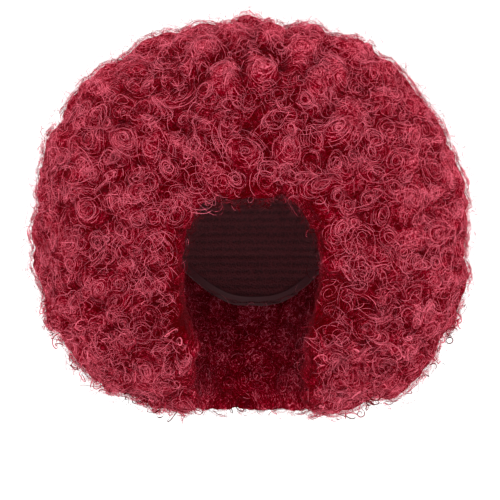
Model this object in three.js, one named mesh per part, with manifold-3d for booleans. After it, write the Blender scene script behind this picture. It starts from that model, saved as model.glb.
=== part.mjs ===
// Round curly afro wig: a close cap, and the hair that stands out from it in seven sections of fused locks.
// Lengths are millimetres and +Z is up. The origin is where the crown of the head meets the inside of the cap.
// The face looks along -Y, so +X is the wearer's left.

import * as THREE from "three";
import { ConvexGeometry } from "three/addons/geometries/ConvexGeometry.js";
import { mergeVertices } from "three/addons/utils/BufferGeometryUtils.js";
import Module from "manifold-3d";

const wasm = await Module();
wasm.setup();

// Hair: its overall size, and where it lies above the head
const hairWidth = 405;
const hairHeight = 367;
const hairDepth = 370;
const hairAboveCrown = 102;

// Locks: their pitch over the hair, the radius of their round ends, and how far the hair that they are fused to
// lies below them. A lock may fall short of the hair's outer form.
const lockPitch = 43;
const lockRadius = 25;
const lockDepth = 17;
const lockShortfall = 5;

// Curls along the edge of the face opening, which reach into it by about half their width
const edgeCurlRadius = 11;
const edgeCurlPitch = 22;
const edgeCurlReach = 8;

// Head: the space inside the cap, from the crown to the level where the head is widest, and on to the chin
const headHalfWidth = 76;
const headFront = 96;
const headBack = 96;
const widestDepth = 95;
const chinDepth = 220;

// Cap: its wall, and how far below the crown its edge lies
const capWall = 2;
const capFrontEdge = 58;
const capEarTab = 134;
const capEarArch = 112;
const capNapeEdge = 166;

// Face opening: the free space between the curls, below the crown and to either side
const hairlineDepth = 70;
const openingAtCheeks = 59;
const openingAtNeck = 48;
const openingCorner = 40;
const cheekDepth = 148;
const jawDepth = 190;

// Clearances between neighbouring pieces
const seatGap = 0.3;
const seamGap = 0.4;

// How finely the round forms are divided
const roundSteps = 26;
const domeRows = 6;
const hairPoints = 2700;

// The hair's outer form in level sections, from its top to its lowest curls. level is a share of hairHeight,
// right and left are shares of hairWidth, and front and back of hairDepth, all from the head's upright axis.
const OUTLINE = [
  { level: 0.0, right: 0.0, left: 0.0, front: 0.0, back: 0.0 },
  { level: 0.02, right: 0.137, left: 0.185, front: 0.125, back: 0.142 },
  { level: 0.045, right: 0.213, left: 0.236, front: 0.19, back: 0.216 },
  { level: 0.08, right: 0.266, left: 0.297, front: 0.247, back: 0.28 },
  { level: 0.12, right: 0.342, left: 0.345, front: 0.3, back: 0.34 },
  { level: 0.16, right: 0.392, left: 0.379, front: 0.34, back: 0.387 },
  { level: 0.2, right: 0.417, left: 0.403, front: 0.37, back: 0.422 },
  { level: 0.27, right: 0.46, left: 0.449, front: 0.408, back: 0.475 },
  { level: 0.35, right: 0.476, left: 0.474, front: 0.428, back: 0.513 },
  { level: 0.42, right: 0.491, left: 0.495, front: 0.441, back: 0.538 },
  { level: 0.5, right: 0.499, left: 0.501, front: 0.445, back: 0.551 },
  { level: 0.6, right: 0.499, left: 0.498, front: 0.428, back: 0.552 },
  { level: 0.69, right: 0.491, left: 0.495, front: 0.397, back: 0.537 },
  { level: 0.77, right: 0.481, left: 0.479, front: 0.357, back: 0.51 },
  { level: 0.83, right: 0.442, left: 0.441, front: 0.32, back: 0.476 },
  { level: 0.88, right: 0.4, left: 0.41, front: 0.286, back: 0.44 },
  { level: 0.92, right: 0.37, left: 0.388, front: 0.257, back: 0.408 },
  { level: 0.96, right: 0.323, left: 0.333, front: 0.217, back: 0.363 },
  { level: 1.0, right: 0.212, left: 0.246, front: 0.14, back: 0.27 },
];

// The head and neck below their widest level: depth is a share of chinDepth, side of headHalfWidth, front of
// headFront and back of headBack. The last row lies below the hair.
const NECK = [
  { depth: 0.55, side: 0.99, front: 1.0, back: 0.98 },
  { depth: 0.66, side: 0.95, front: 0.99, back: 0.9 },
  { depth: 0.78, side: 0.86, front: 0.95, back: 0.76 },
  { depth: 0.92, side: 0.75, front: 0.85, back: 0.67 },
  { depth: 1.08, side: 0.69, front: 0.75, back: 0.65 },
  { depth: 1.6, side: 0.68, front: 0.7, back: 0.65 },
];

// The cap's edge on one side, by degrees round from the front
const CAP_EDGE = [
  { round: 0, depth: capFrontEdge },
  { round: 38, depth: capFrontEdge },
  { round: 70, depth: capEarTab },
  { round: 92, depth: capEarArch },
  { round: 128, depth: capEarTab },
  { round: 160, depth: capNapeEdge },
  { round: 180, depth: capNapeEdge },
];

// The sections of hair, in degrees seen from the middle of the head: round from the front, and up from level
const SECTIONS = [
  { name: "fringe_hair", round: [-24, 24], up: [-20, 30] },
  { name: "crown_front_hair", round: [-90, 90], up: [30, 90] },
  { name: "crown_back_hair", round: [90, 270], up: [30, 90] },
  { name: "left_side_hair", round: [24, 120], up: [-90, 30] },
  { name: "right_side_hair", round: [-120, -24], up: [-90, 30] },
  { name: "back_hair", round: [120, 240], up: [-20, 30] },
  { name: "nape_hair", round: [120, 240], up: [-90, -20] },
];

// Where the faces between the sections bend, so that neighbours bend together
const ROUND_STOPS = [-120, -90, -57, -24, 24, 57, 90, 120, 150, 180, 210, 240, 270];
const UP_STOPS = [-90, -55, -20, 5, 30, 60, 90];

const radians = THREE.MathUtils.degToRad;
const headMiddle = new THREE.Vector3(0, 0, -widestDepth);
const hairBottom = hairAboveCrown - hairHeight;
const farOut = 2 * (hairWidth + hairHeight + hairDepth); // beyond every surface of the hair

// A column of a table, read between its rows
function between(rows, key, at, column) {
  const next = rows.findIndex((row) => row[key] >= at);
  if (next === 0) return rows[0][column];
  if (next < 0) return rows[rows.length - 1][column];
  const [low, high] = [rows[next - 1], rows[next]];
  return THREE.MathUtils.mapLinear(at, low[key], high[key], low[column], high[column]);
}

// A share from 0 to 1 that is always the same for a seed, and unlike its neighbours'
function scatter(seed) {
  const long = Math.sin(seed * 12.9898) * 43758.5453;
  return long - Math.floor(long);
}

// The way out from the middle of the head, by degrees round from the front and up from level
function wayOut(round, up) {
  const [a, e] = [radians(round), radians(up)];
  return new THREE.Vector3(Math.sin(a) * Math.cos(e), -Math.cos(a) * Math.cos(e), Math.sin(e));
}

// A closed geometry as a solid that can be joined and cut, without faces that have shrunk to nothing
function solidOf(geometry) {
  const bare = geometry.clone();
  bare.deleteAttribute("normal");
  bare.deleteAttribute("uv");
  const merged = mergeVertices(bare, 1e-4);
  const corners = [...merged.index.array];
  const triVerts = [];
  for (let i = 0; i < corners.length; i += 3) {
    const [a, b, c] = corners.slice(i, i + 3);
    if (a !== b && b !== c && c !== a) triVerts.push(a, b, c);
  }
  const vertProperties = merged.attributes.position.array;
  const mesh = new wasm.Mesh({ numProp: 3, vertProperties, triVerts: new Uint32Array(triVerts) });
  return new wasm.Manifold(mesh);
}

function geometryFrom(points, faces) {
  const geometry = new THREE.BufferGeometry().setFromPoints(points);
  geometry.setIndex(faces.flat());
  return geometry;
}

// A closed body through rings of equal point counts, each anticlockwise seen from the last end
function loft(firstPoint, rings, lastPoint) {
  const sides = rings[0].length;
  const corner = (ring, side) => 1 + ring * sides + (side % sides);
  const last = 1 + rings.length * sides;
  const faces = [];
  for (let side = 0; side < sides; side += 1) {
    faces.push([0, corner(0, side + 1), corner(0, side)]);
    for (let ring = 1; ring < rings.length; ring += 1) {
      faces.push([corner(ring - 1, side), corner(ring - 1, side + 1), corner(ring, side + 1)]);
      faces.push([corner(ring - 1, side), corner(ring, side + 1), corner(ring, side)]);
    }
    faces.push([last, corner(rings.length - 1, side), corner(rings.length - 1, side + 1)]);
  }
  return geometryFrom([firstPoint, ...rings.flat(), lastPoint], faces);
}

// A level ring round the head, of two half ellipses
function headRing(z, side, front, back) {
  return Array.from({ length: roundSteps }, (_, step) => {
    const angle = (step / roundSteps) * 2 * Math.PI;
    const [x, y] = [Math.cos(angle), Math.sin(angle)];
    return new THREE.Vector3(x * side, y * (y < 0 ? front : back), z);
  });
}

// The head and neck, grown on every side
function headForm(grow) {
  const neck = NECK.map(({ depth, side, front, back }) =>
    headRing(-depth * chinDepth, side * headHalfWidth + grow, front * headFront + grow, back * headBack + grow),
  );
  const dome = Array.from({ length: domeRows }, (_, row) => {
    const angle = ((row + 1) / domeRows) * (Math.PI / 2);
    const z = (widestDepth + grow) * Math.cos(angle) - widestDepth;
    const [side, front, back] = [headHalfWidth, headFront, headBack].map((r) => (r + grow) * Math.sin(angle));
    return headRing(z, side, front, back);
  });
  const rings = [...neck.reverse(), ...dome.reverse()];
  return solidOf(loft(new THREE.Vector3(0, 0, rings[0][0].z), rings, new THREE.Vector3(0, 0, grow)));
}

// All that lies below the cap's edge
function belowCapEdge() {
  const edgeAt = (reach) =>
    Array.from({ length: roundSteps }, (_, step) => {
      const round = (step / roundSteps) * 360;
      const depth = between(CAP_EDGE, "round", Math.min(round, 360 - round), "depth");
      return wayOut(round, 0).multiplyScalar(reach).setZ(-depth);
    });
  const outside = edgeAt(farOut);
  const floor = outside.map((point) => point.clone().setZ(-farOut));
  const middle = new THREE.Vector3(0, 0, -capEarArch);
  return solidOf(loft(new THREE.Vector3(0, 0, -farOut), [floor, outside, edgeAt(headHalfWidth / 2)], middle));
}

// The edge of the face opening seen from the front, from low on one side over the forehead to the other
function openingEdge(grow, lowest) {
  const [cheek, neck] = [openingAtCheeks + grow, openingAtNeck + grow];
  const [corner, top] = [openingCorner + grow, grow - hairlineDepth];
  const edge = new THREE.Path();
  edge.moveTo(neck, lowest);
  edge.lineTo(neck, -jawDepth);
  edge.lineTo(cheek, -cheekDepth);
  edge.lineTo(cheek, top - corner);
  edge.absarc(cheek - corner, top - corner, corner, 0, Math.PI / 2);
  edge.absarc(corner - cheek, top - corner, corner, Math.PI / 2, Math.PI);
  edge.lineTo(-cheek, -cheekDepth);
  edge.lineTo(-neck, -jawDepth);
  edge.lineTo(-neck, lowest);
  return edge;
}

// The space in front of the face and throat, as far back as the middle of the head
function faceSpace() {
  const arch = new THREE.Shape(openingEdge(edgeCurlReach, -farOut).getPoints(5));
  const space = new THREE.ExtrudeGeometry(arch, { depth: farOut, bevelEnabled: false });
  return solidOf(space.rotateX(Math.PI / 2));
}

// How far the hair's outer form lies from the head's axis, to each side, at a height
function outlineAt(z) {
  const level = (hairAboveCrown - z) / hairHeight;
  const share = (column) => between(OUTLINE, "level", level, column);
  return {
    right: share("right") * hairWidth,
    left: share("left") * hairWidth,
    front: share("front") * hairDepth,
    back: share("back") * hairDepth,
  };
}

function insideOutline({ x, y, z }) {
  if (z > hairAboveCrown || z < hairBottom) return false;
  const { right, left, front, back } = outlineAt(z);
  return Math.hypot(x / (x < 0 ? right : left), y / (y < 0 ? front : back)) < 1;
}

// How far the outer form lies from the middle of the head, along a way out
function outerReach(way) {
  let [near, far] = [0, farOut];
  while (far - near > 0.05) {
    const middle = (near + far) / 2;
    if (insideOutline(headMiddle.clone().addScaledVector(way, middle))) near = middle;
    else far = middle;
  }
  return near;
}

// The locks of a section: the middle and radius of each round end. They stand in rows, half a pitch or so
// clear of the section's sides, and no two are quite alike.
function locksOf({ round, up }) {
  const [roundSpan, upSpan] = [round[1] - round[0], up[1] - up[0]];
  const midRound = (round[0] + round[1]) / 2;
  const rows = Math.round((radians(upSpan) * outerReach(wayOut(midRound, up[0] + upSpan / 2))) / lockPitch);
  return Array.from({ length: rows }, (_, row) => {
    const e = up[0] + ((row + 0.5) / rows) * upSpan;
    const rowRadius = outerReach(wayOut(midRound, e)) * Math.cos(radians(e));
    const count = Math.max(1, Math.round((radians(roundSpan) * rowRadius) / lockPitch));
    return Array.from({ length: count }, (_, place) => {
      const seed = 1 + round[0] * 7 + up[0] * 3 + row * 31 + place;
      const stray = (more) => 0.3 * (scatter(seed + more) - 0.5);
      const a = round[0] + ((place + 0.5 + stray(0.2)) / count) * roundSpan;
      const way = wayOut(a, e + (stray(0.6) / rows) * upSpan);
      const radius = lockRadius * (0.85 + 0.3 * scatter(seed + 0.8));
      const reach = outerReach(way) - lockShortfall * scatter(seed + 0.4);
      return { middle: way.clone().multiplyScalar(reach - radius), radius };
    });
  }).flat();
}

// How far a lock's round end lies along a way out, or 0 where the way misses it
function lockReach({ middle, radius }, way) {
  const along = middle.dot(way);
  const aside = middle.lengthSq() - along * along;
  return aside < radius * radius && along > 0 ? along + Math.sqrt(radius * radius - aside) : 0;
}

// All the hair as one solid round the middle of the head: even points on a ball, each moved out or in to where
// the furthest lock ends, or to the hair between the locks
function hairForm() {
  const locks = SECTIONS.flatMap(locksOf);
  const goldenTurn = Math.PI * (3 - Math.sqrt(5));
  const ways = Array.from({ length: hairPoints }, (_, i) => {
    const z = 1 - (2 * i + 1) / hairPoints;
    const across = Math.sqrt(1 - z * z);
    return new THREE.Vector3(across * Math.cos(i * goldenTurn), across * Math.sin(i * goldenTurn), z);
  });
  const ball = new ConvexGeometry(ways);
  const points = ball.getAttribute("position");
  const reaches = new Map();
  for (let i = 0; i < points.count; i += 1) {
    const way = new THREE.Vector3().fromBufferAttribute(points, i);
    const key = way.toArray().map((value) => value.toFixed(6)).join();
    way.normalize();
    if (!reaches.has(key)) {
      const ends = locks.map((lock) => lockReach(lock, way));
      reaches.set(key, Math.max(outerReach(way) - lockDepth, ...ends));
    }
    const { x, y, z } = way.multiplyScalar(reaches.get(key)).add(headMiddle);
    points.setXYZ(i, x, y, z);
  }
  return solidOf(ball);
}

// The curls along the edge of the face opening, on the front of the hair
function edgeCurls() {
  const edge = openingEdge(edgeCurlRadius, hairBottom + 2 * edgeCurlRadius);
  const count = Math.round(edge.getLength() / edgeCurlPitch);
  return edge.getSpacedPoints(count).map(({ x, y: z }, i) => {
    const { right, left, front } = outlineAt(z);
    const across = x / (x < 0 ? right : left);
    const y = lockDepth + edgeCurlRadius / 2 - front * Math.sqrt(1 - across * across);
    const radius = edgeCurlRadius * (0.75 + 0.5 * scatter(i + 0.5));
    return { middle: new THREE.Vector3(x, y, z), radius };
  });
}

function curlForm({ middle, radius }) {
  return solidOf(new THREE.IcosahedronGeometry(radius, 1).translate(...middle.toArray()));
}

// The space of one section of hair, half a seam clear of its neighbours: a pyramid from the middle of the head
function sectionSpace({ round, up }) {
  const seam = THREE.MathUtils.radToDeg(seamGap / 2 / headHalfWidth);
  const inset = (angle, side) => (Math.abs(angle) === 90 ? angle : angle + side * seam);
  const stops = (all, [from, to], first, last) => [first, ...all.filter((s) => s > from && s < to), last];
  const rounds = stops(ROUND_STOPS, round, round[0] + seam, round[1] - seam);
  const ups = stops(UP_STOPS, up, inset(up[0], 1), inset(up[1], -1));
  const base = ups.flatMap((e) =>
    rounds.map((a) => headMiddle.clone().addScaledVector(wayOut(a, e), farOut)),
  );
  const columns = rounds.length;
  const corner = (row, column) => 1 + row * columns + column;
  const [top, end] = [ups.length - 1, columns - 1];
  const faces = [];
  for (let row = 0; row < top; row += 1) {
    for (let column = 0; column < end; column += 1) {
      faces.push([corner(row, column), corner(row, column + 1), corner(row + 1, column + 1)]);
      faces.push([corner(row, column), corner(row + 1, column + 1), corner(row + 1, column)]);
    }
    faces.push([0, corner(row, 0), corner(row + 1, 0)]);
    faces.push([0, corner(row + 1, end), corner(row, end)]);
  }
  for (let column = 0; column < end; column += 1) {
    faces.push([0, corner(0, column + 1), corner(0, column)]);
    faces.push([0, corner(top, column), corner(top, column + 1)]);
  }
  return solidOf(geometryFrom([headMiddle, ...base], faces));
}

// Materials
const hairFibre = new THREE.MeshStandardMaterial({ name: "hair", color: 0x902b39, roughness: 0.6 });
const capNet = new THREE.MeshStandardMaterial({ name: "cap_net", color: 0x3a1218, roughness: 0.9 });

function meshOf(name, solid, material) {
  const { vertProperties, triVerts } = solid.getMesh();
  const geometry = new THREE.BufferGeometry();
  geometry.setAttribute("position", new THREE.BufferAttribute(vertProperties, 3));
  geometry.setIndex(new THREE.BufferAttribute(triVerts, 1));
  geometry.computeVertexNormals();
  const mesh = new THREE.Mesh(geometry, material);
  mesh.name = name;
  return mesh;
}

const wig = new THREE.Group();
wig.name = "afro_wig";
wig.add(meshOf("cap", headForm(capWall).subtract(headForm(0)).subtract(belowCapEdge()), capNet));

const headSpace = headForm(capWall + seatGap);
const looseHair = hairForm().subtract(headSpace).subtract(faceSpace());
const curls = edgeCurls().map(curlForm).reduce((joined, curl) => joined.add(curl));
const wholeHair = looseHair.add(curls).subtract(headSpace);
for (const section of SECTIONS) {
  wig.add(meshOf(section.name, wholeHair.intersect(sectionSpace(section)), hairFibre));
}

export default wig;
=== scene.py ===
"""Afro wig: the looks of the hair and the cap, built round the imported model."""

import math

import bmesh
import bpy
import numpy as np
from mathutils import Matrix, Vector
from mathutils.bvhtree import BVHTree
from mathutils.kdtree import KDTree


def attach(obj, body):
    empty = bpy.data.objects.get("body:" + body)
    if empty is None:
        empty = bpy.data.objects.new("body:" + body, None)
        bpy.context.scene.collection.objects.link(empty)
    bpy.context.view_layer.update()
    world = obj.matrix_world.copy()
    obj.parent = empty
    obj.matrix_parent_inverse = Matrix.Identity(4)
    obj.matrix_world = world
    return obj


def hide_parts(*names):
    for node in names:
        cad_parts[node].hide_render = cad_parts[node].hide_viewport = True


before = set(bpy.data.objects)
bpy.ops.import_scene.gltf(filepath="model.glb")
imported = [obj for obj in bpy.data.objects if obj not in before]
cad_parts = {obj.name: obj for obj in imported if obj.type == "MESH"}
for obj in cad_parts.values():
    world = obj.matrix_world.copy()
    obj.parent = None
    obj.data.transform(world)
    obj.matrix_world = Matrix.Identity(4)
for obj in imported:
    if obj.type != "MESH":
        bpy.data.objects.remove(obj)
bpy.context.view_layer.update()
rng = np.random.default_rng(29)

HAIR_NODES = [name for name in sorted(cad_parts) if name != "cap"]
MM = 0.001

# The middle of the head, from which every outer point of the hair can be seen. The map's rays start outside
# the hair and stop short of the middle.
HEAD_MIDDLE = np.array([0.0, 0.0, -95 * MM])
FAR_OUT = 0.6
INNERMOST = 60 * MM

# Steps of this angle spread points evenly round an axis
GOLDEN_ANGLE = math.pi * (3 - math.sqrt(5))

# The map of how far the hair reaches: one cell a degree
MAP_ROWS = 180
MAP_COLUMNS = 360

# The hair's form over the solids: how far it stands on them, how much of their lumps it keeps, and how many
# degrees the map is blurred by, for its wide form, over the face opening and for its lumps
HAIR_RISE = 7.0 * MM
LUMP_KEPT = 0.45
WIDE_BLUR = 5.5
FACE_BLUR = 4
SOFT_BLUR = 1.2

# Clumps of hair that run away from the face, with clefts between them: how many, their length and breadth
# in radians, how far each strays from an even spread, and the clefts' width, depth and blur
CLUMP_COUNT = 200
CLUMP_LENGTH = 0.38
CLUMP_BREADTH = 0.15
CLUMP_STRAY = (0.06, 0.1)
CLEFT_WIDTH = 0.3
CLEFT_DEPTH = 4.0 * MM
CLEFT_BLUR = 0.8

# Over the brow the clefts are deeper: by how much, where, and how far that spreads outward and round
CLEFT_OVER_BROW = 1.8
BROW_FROM_FACE = 0.95
BROW_SPREAD = (0.4, 0.8)

# Painted light and shade, as shares of the colour ramp: lumps painted lighter, clefts painted darker.
# Lumps and clefts are set against what surrounds them within so many degrees, and a lump of this height is
# at its lightest.
LUMP_CONTRAST = 0.03
LUMP_SURROUND = 5
LUMP_HEIGHT = 4.0 * MM
CLEFT_CONTRAST = 0.25
CLEFT_SURROUND = 11

# Hair by the face is painted darker, as shade, and hair past the angle where that ends a little lighter, as
# painted light, about a middle value
FACE_SHADE = 0.1
FACE_SHADE_END = 1.35
FACE_SHADE_FADE = 0.7
FACE_SHADE_LEAST = -0.3
FACE_SHADE_MIDDLE = 0.35

# The shaded hollow beside the jaw, the same on both sides: its place in millimetres, its spread in radians,
# its depth, and how much darker its colour is, painted shade on top of the real hollow
JAW_POCKET = (80, -128, -182)
POCKET_SPREAD = 0.17
POCKET_DEPTH = 5.0 * MM
POCKET_SHADE = 0.3

# Where the outline swells, or falls short where the rise is below 0
OUTLINE_SWELLS = [
    # x mm, z mm, rise mm, spread in radians
    (-89, 86, 5.0, 0.12),
    (62, 96, 2.0, 0.07),
    (95, 85, -3.5, 0.07),
    (137, 58, -3.0, 0.1),
    (162, 29, -3.5, 0.1),
    (-169, 29, -3.0, 0.09),
    (-178, 3, 3.5, 0.08),
    (-186, -82, 2.5, 0.12),
    (200, -82, 2.5, 0.12),
    (200, -151, 4.0, 0.12),
    (161, -235, 5.5, 0.16),
]

# The lip of hair round the face opening: how far it stands in, and how deep behind the outer form it ends
EDGE_RISE = 7.0 * MM
EDGE_DEPTH = 40.0 * MM

# The hair that hangs from the hairline: how many degrees it goes to each side, at which degrees up its edge
# is looked for, how many millimetres deep it starts, the way it faces, and how far that strays
HAIRLINE_ASIDE = 24
HAIRLINE_UPS = np.arange(-10, 30, 0.5)
HAIRLINE_DEPTHS = (4, 30)
HAIRLINE_FACING = np.array([0, -0.35, -1.0])
HAIRLINE_STRAY = 0.25

# The body of each section: its grid, how far it lies below the strands outside and on the walls, how far it
# laps over its neighbours, and how much lower it is there
MASS_VOXEL = 6.4 * MM
MASS_SINK = 2.5 * MM
WALL_SINK = 0.5 * MM
SEAM_LAP = 3.5 * MM
LAP_SINK = 1.0 * MM

# How near the outer form a point is part of it, how deep under it the curls on a wall start, and how clear
# the way from a point is where it lies in the open
OUTER_SKIN = 7 * MM
WALL_START = 9 * MM
CLEAR_WAY = 15 * MM

# A curl's form, by the share of the way from its middle to its edge: its top and its fall, as shares of its
# relief, the share past which it falls no more, and the width of the hole in its middle
CURL_TOP = 0.8
CURL_FALL = 1.3
CURL_END = 1.3
HOLE_WIDTH = 0.24

# How far above or below a curl a point still takes on its form
FIELD_THICKNESS = 14 * MM


def mm(*values):
    """Millimetres as the scene's metres."""
    return tuple(value * MM for value in values)


def unit(vectors):
    """Vectors along the last axis, made one long."""
    return vectors / np.maximum(np.linalg.norm(vectors, axis=-1, keepdims=True), 1e-12)


def tangents(normals):
    """Two directions across each normal, turned at random about it."""
    helper = unit(rng.normal(size=normals.shape))
    first = unit(np.cross(normals, helper))
    return first, np.cross(normals, first)


def part_of(item, keys, which):
    """An object of the same class with some of the entries of its arrays."""
    part = type(item).__new__(type(item))
    for key in keys:
        setattr(part, key, getattr(item, key)[which])
    return part


def curl_height(share, relief, hole):
    """How high the hair of a curl stands, by the share of the way from its middle to its edge."""
    over = relief * (CURL_TOP - CURL_FALL * np.minimum(share, CURL_END) ** 2)
    return over - hole * np.exp(-((share / HOLE_WIDTH) ** 2))


def placed_in_scene(name, data):
    """A new object of the scene."""
    item = bpy.data.objects.new(name, data)
    bpy.context.scene.collection.objects.link(item)
    return item


def add_point_values(mesh, values):
    """Gives a mesh one number a point under each name."""
    for key, numbers in values.items():
        layer = mesh.attributes.new(key, "FLOAT", "POINT")
        layer.data.foreach_set("value", numbers.astype(np.float32))


class Solids:
    """The triangles of some CAD nodes as arrays, and the node that each belongs to."""

    def __init__(self, names):
        points, corners, owners = [], [], []
        count = 0
        for owner, name in enumerate(names):
            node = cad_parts[name]
            mesh = node.data
            mesh.calc_loop_triangles()
            place = np.array(node.matrix_world)
            vertices = np.empty(len(mesh.vertices) * 3)
            mesh.vertices.foreach_get("co", vertices)
            vertices = vertices.reshape(-1, 3) @ place[:3, :3].T + place[:3, 3]
            triangles = np.empty(len(mesh.loop_triangles) * 3, dtype=np.int32)
            mesh.loop_triangles.foreach_get("vertices", triangles)
            points.append(vertices)
            corners.append(triangles.reshape(-1, 3) + count)
            owners.append(np.full(len(triangles) // 3, owner))
            count += len(vertices)
        self.points = np.concatenate(points)
        self.corners = np.concatenate(corners)
        self.owners = np.concatenate(owners)
        self.tree = BVHTree.FromPolygons(self.points.tolist(), self.corners.tolist())

    def hit(self, start, way, reach):
        """The distance and the owner of the first triangle along a way, or None."""
        _, _, index, distance = self.tree.ray_cast(Vector(start), Vector(way), reach)
        return None if index is None else (distance, self.owners[index])


hair = Solids(HAIR_NODES)
everything = Solids(HAIR_NODES + ["cap"])


def map_ways():
    """The direction of each cell of the map from the middle of the head, and its height as an angle."""
    up = (np.arange(MAP_ROWS) + 0.5) / MAP_ROWS * math.pi - math.pi / 2
    turn = np.arange(MAP_COLUMNS) / MAP_COLUMNS * 2 * math.pi
    up, turn = np.meshgrid(up, turn, indexing="ij")
    return np.stack([np.cos(up) * np.cos(turn), np.cos(up) * np.sin(turn), np.sin(up)], axis=-1), up


MAP_WAYS, MAP_UP = map_ways()
FROM_FACE = np.arccos(np.clip(-MAP_WAYS[..., 1], -1, 1))


def blurred(field, degrees):
    """A map blurred evenly over the ball, across its poles too."""
    turns = np.fft.fft(field, axis=1)
    waves = np.fft.fftfreq(MAP_COLUMNS) * MAP_COLUMNS
    spread = math.radians(degrees) / np.maximum(np.cos(MAP_UP[:, :1]), 0.02)
    field = np.fft.ifft(turns * np.exp(-0.5 * (waves * spread) ** 2), axis=1).real
    over_pole = np.roll(field[::-1], MAP_COLUMNS // 2, axis=1)
    both = np.concatenate([field, over_pole])
    waves = np.fft.fftfreq(2 * MAP_ROWS)[:, None] * 2 * MAP_ROWS
    both = np.fft.ifft(np.fft.fft(both, axis=0) * np.exp(-0.5 * (waves * math.radians(degrees)) ** 2), axis=0)
    return both.real[:MAP_ROWS]


def reach_maps():
    """How far the solid hair reaches along each way of the map, and its node's number, or -1 at the face."""
    reach = np.zeros((MAP_ROWS, MAP_COLUMNS))
    owner = np.full((MAP_ROWS, MAP_COLUMNS), -1)
    for row in range(MAP_ROWS):
        for column in range(MAP_COLUMNS):
            way = MAP_WAYS[row, column]
            found = hair.hit(HEAD_MIDDLE + way * FAR_OUT, -way, FAR_OUT - INNERMOST)
            if found:
                reach[row, column] = FAR_OUT - found[0]
                owner[row, column] = found[1]
    return reach, owner


SOLID_REACH, OWNER = reach_maps()
COVERED = (OWNER >= 0).astype(float)


def filled(field, degrees):
    """A blurred map in which the face opening takes its values from the hair round it."""
    return blurred(field * COVERED, degrees) / np.maximum(blurred(COVERED, degrees), 1e-6)


def clump_map():
    """Clumps of hair that run away from the face: 1 on a clump's back, 0 in the cleft between two."""
    step = np.arange(CLUMP_COUNT) + 0.5
    out = np.arccos(1 - 2 * step / CLUMP_COUNT)
    middles = np.stack([out, (step * GOLDEN_ANGLE) % (2 * math.pi)], axis=-1)
    middles = middles + rng.normal(size=middles.shape) * CLUMP_STRAY
    round_face = np.arctan2(MAP_WAYS[..., 2], MAP_WAYS[..., 0])
    nearest = np.full(FROM_FACE.shape, 9.0)
    second = nearest.copy()
    for out, round_ in middles:
        aside = (round_face - round_ + math.pi) % (2 * math.pi) - math.pi
        away = np.hypot((FROM_FACE - out) / CLUMP_LENGTH, aside * np.sin(FROM_FACE) / CLUMP_BREADTH)
        second = np.minimum(second, np.maximum(nearest, away))
        nearest = np.minimum(nearest, away)
    out_spread, round_spread = BROW_SPREAD
    round_off = (round_face - math.pi / 2) / round_spread
    out_off = (FROM_FACE - BROW_FROM_FACE) / out_spread
    strength = 1 + CLEFT_OVER_BROW * np.exp(-(round_off**2 + out_off**2))
    return 1 - strength * np.exp(-(((second - nearest) / CLEFT_WIDTH) ** 2))


def patch_towards(x, y, z, spread):
    """A soft round patch of the map, 1 in its middle, in the direction of a place in millimetres."""
    way = unit(np.array([x, y, z]) * MM - HEAD_MIDDLE)
    angle = np.arccos(np.clip((MAP_WAYS * way).sum(axis=-1), -1, 1))
    return np.exp(-((angle / spread) ** 2))


def outline_swells():
    """How far the outline swells past the even form, cell by cell."""
    swells = np.zeros(COVERED.shape)
    for x, z, rise, spread in OUTLINE_SWELLS:
        swells += rise * MM * patch_towards(x, HEAD_MIDDLE[1] / MM, z, spread)
    return swells


def jaw_pockets():
    """The hollows beside the jaw: 1 in their middles."""
    aside, front, up = JAW_POCKET
    return sum(patch_towards(side * aside, front, up, POCKET_SPREAD) for side in (1, -1))


# The reach of the solids with their lumps softened, and of the loose hair over them
WIDE_REACH = filled(SOLID_REACH, WIDE_BLUR)
SOFT_REACH = blurred(np.where(COVERED > 0, SOLID_REACH, filled(SOLID_REACH, FACE_BLUR)), SOFT_BLUR)
CLUMPS = blurred(clump_map(), CLEFT_BLUR)
POCKETS = jaw_pockets()
REACH = WIDE_REACH + LUMP_KEPT * (SOFT_REACH - WIDE_REACH) + HAIR_RISE
REACH = REACH - CLEFT_DEPTH * (1 - CLUMPS) - POCKET_DEPTH * POCKETS + outline_swells()


def painted_light_and_shade_map():
    """Painted light on lumps and clumps of hair, painted shade in the clefts, by the face and beside the jaw.
    """
    lumps = np.clip((SOFT_REACH - filled(SOFT_REACH, LUMP_SURROUND)) / LUMP_HEIGHT, -1, 1)
    by_face = np.clip((FACE_SHADE_END - FROM_FACE) / FACE_SHADE_FADE, FACE_SHADE_LEAST, 1)
    shade = LUMP_CONTRAST * lumps + CLEFT_CONTRAST * (CLUMPS - blurred(CLUMPS, CLEFT_SURROUND))
    return shade - FACE_SHADE * (by_face - FACE_SHADE_MIDDLE) - POCKET_SHADE * POCKETS


PAINTED_LIGHT_AND_SHADE = painted_light_and_shade_map()


def normal_map(reach):
    """Outward normals of the surface that lies that far out along each way."""
    points = MAP_WAYS * reach[..., None]
    along = np.roll(points, -1, axis=1) - np.roll(points, 1, axis=1)
    upward = np.gradient(points, axis=0)
    return unit(np.cross(along, upward))


NORMALS = normal_map(REACH)


def map_at(field, ways):
    """The values of a map along any ways, blended between its cells."""
    column = np.arctan2(ways[..., 1], ways[..., 0]) / (2 * math.pi) * MAP_COLUMNS % MAP_COLUMNS
    row = (np.arcsin(np.clip(ways[..., 2], -1, 1)) / math.pi + 0.5) * MAP_ROWS - 0.5
    row = np.clip(row, 0, MAP_ROWS - 1.001)
    low_row, low_column = np.floor(row).astype(int), np.floor(column).astype(int) % MAP_COLUMNS
    row_share, column_share = row - low_row, column - np.floor(column)
    if field.ndim == 3:
        row_share, column_share = row_share[..., None], column_share[..., None]
    next_column = (low_column + 1) % MAP_COLUMNS
    low = field[low_row, low_column] * (1 - column_share) + field[low_row, next_column] * column_share
    high_row = low_row + 1
    high = field[high_row, low_column] * (1 - column_share) + field[high_row, next_column] * column_share
    return low * (1 - row_share) + high * row_share


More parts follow.
